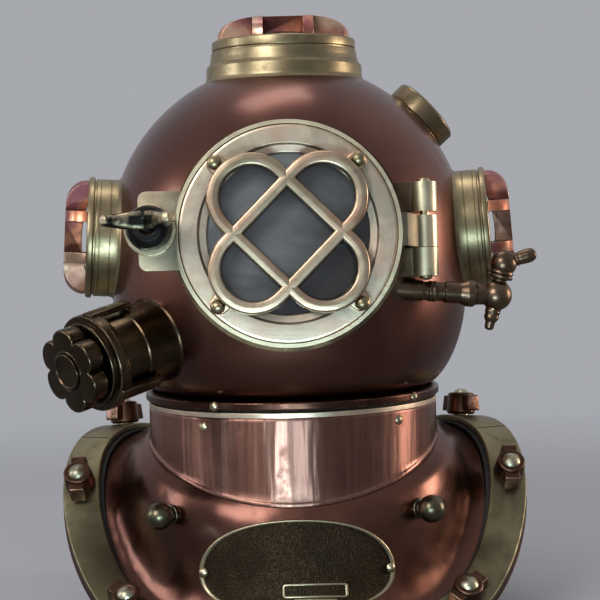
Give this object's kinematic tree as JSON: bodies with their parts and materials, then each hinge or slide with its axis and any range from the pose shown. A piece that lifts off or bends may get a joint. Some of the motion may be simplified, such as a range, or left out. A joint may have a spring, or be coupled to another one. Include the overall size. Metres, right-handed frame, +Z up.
{
  "type": "diving helmet",
  "caption": "Copper and brass diving helmet: a bonnet with guarded windows and a hinged faceplate, on a breastplate with strapped rim.",
  "frame": {"origin": "centre of the bounding box at the base, in the plane that the breastplate's rim stands on", "axes": "+Z up, -Y the way the faceplate looks, +X to the faceplate's hinge side"},
  "size_m": [0.3694, 0.4106, 0.4737],
  "materials": {
    "copper": "satin copper, browned",
    "polished_copper": "brushed upright, polished",
    "brass": "satin",
    "aged_brass": "aged, satin",
    "dark_bronze": "dark, worn",
    "guard_copper": "satin",
    "rubber": "matte",
    "glass": "clear",
    "spring_steel": "plain"
  },
  "bodies": {
    "breastplate": {"breastplate": "copper", "breast_neck_ring": "brass", "neck_collar": "polished_copper", "collar_rivets": "brass", "neck_gasket": "rubber", "rim_gasket": "rubber", "strap_front_left": "brass", "strap_front_right": "brass", "strap_back_left": "brass", "strap_back_right": "brass", "rim_studs": "brass", "rim_nuts": "dark_bronze", "nameplate": "aged_brass", "nameplate_rivets": "brass", "lanyard_studs": "aged_brass"},
    "bonnet": {"bonnet": "copper", "bonnet_neck_ring": "brass", "neck_ring_screws": "brass", "faceplate_seat": "aged_brass", "hinge_pin": "brass", "left_window_body": "brass", "left_window_gasket": "rubber", "left_window_glass": "glass", "left_window_bezel": "brass", "left_window_guard": "guard_copper", "right_window_body": "brass", "right_window_gasket": "rubber", "right_window_glass": "glass", "right_window_bezel": "brass", "right_window_guard": "guard_copper", "top_window_body": "brass", "top_window_gasket": "rubber", "top_window_glass": "glass", "top_window_bezel": "brass", "top_window_guard": "guard_copper", "receiver_cup": "aged_brass", "air_gooseneck": "brass", "cable_gooseneck": "brass", "exhaust_body": "aged_brass", "exhaust_cage": "aged_brass", "exhaust_spring": "spring_steel", "spitcock_body": "aged_brass"},
    "door": {"door": "brass", "door_seal": "rubber", "door_glass": "glass", "door_glass_seal": "rubber", "door_bezel": "brass", "door_guard": "guard_copper", "door_guard_screws": "brass"},
    "washer": {"clamp_washer": "brass"},
    "wing": {"wing_nut": "dark_bronze", "clamp_bolt": "dark_bronze"},
    "follower": {"spring_follower": "brass"},
    "wheel": {"exhaust_wheel": "aged_brass", "wheel_cap": "aged_brass"},
    "poppet": {"exhaust_poppet": "brass", "chin_button": "aged_brass"},
    "handle": {"spitcock_handle": "dark_bronze"}
  },
  "joints": [
    {"name": "bonnet_turn", "type": "hinge", "parent": "breastplate", "child": "bonnet", "pos_m": [0, 0, 0.175], "axis": [0, 0, 1], "range_deg": [0, 45]},
    {"name": "door_hinge", "type": "hinge", "parent": "bonnet", "child": "door", "pos_m": [0.0995, -0.11572, 0.30209], "axis": [0, 0.0698, 0.9976], "range_deg": [0, 105]},
    {"name": "washer_slide", "type": "slide", "parent": "door", "child": "washer", "axis": [0, -0.9976, 0.0698], "range_m": [0, 0.006]},
    {"name": "wing_spin", "type": "hinge", "parent": "washer", "child": "wing", "pos_m": [-0.097, -0.15923, 0.31065], "axis": [0, -0.9976, 0.0698], "range_deg": [0, 1440]},
    {"name": "wheel_spin", "type": "hinge", "parent": "bonnet", "child": "wheel", "pos_m": [-0.15442, -0.13504, 0.21159], "axis": [-0.7146, -0.6663, -0.213], "range_deg": [0, 720]},
    {"name": "follower_slide", "type": "slide", "parent": "bonnet", "child": "follower", "axis": [0.7146, 0.6663, 0.213], "range_m": [0, 0.005], "deforming": ["exhaust_spring"]},
    {"name": "poppet_slide", "type": "slide", "parent": "bonnet", "child": "poppet", "axis": [-0.7146, -0.6663, -0.213], "range_m": [0, 0.006], "stiffness_N_per_m": 300, "springref_m": -0.01},
    {"name": "handle_turn", "type": "hinge", "parent": "bonnet", "child": "handle", "pos_m": [0.15197, -0.10594, 0.25524], "axis": [0.2419, 0, 0.9703], "range_deg": [0, 90]}
  ],
  "couplings": [
    {"joint": "washer_slide", "follows": "wing_spin", "m_per_rad": 0.00023849},
    {"joint": "follower_slide", "follows": "wheel_spin", "m_per_rad": 0.00039749}
  ]
}
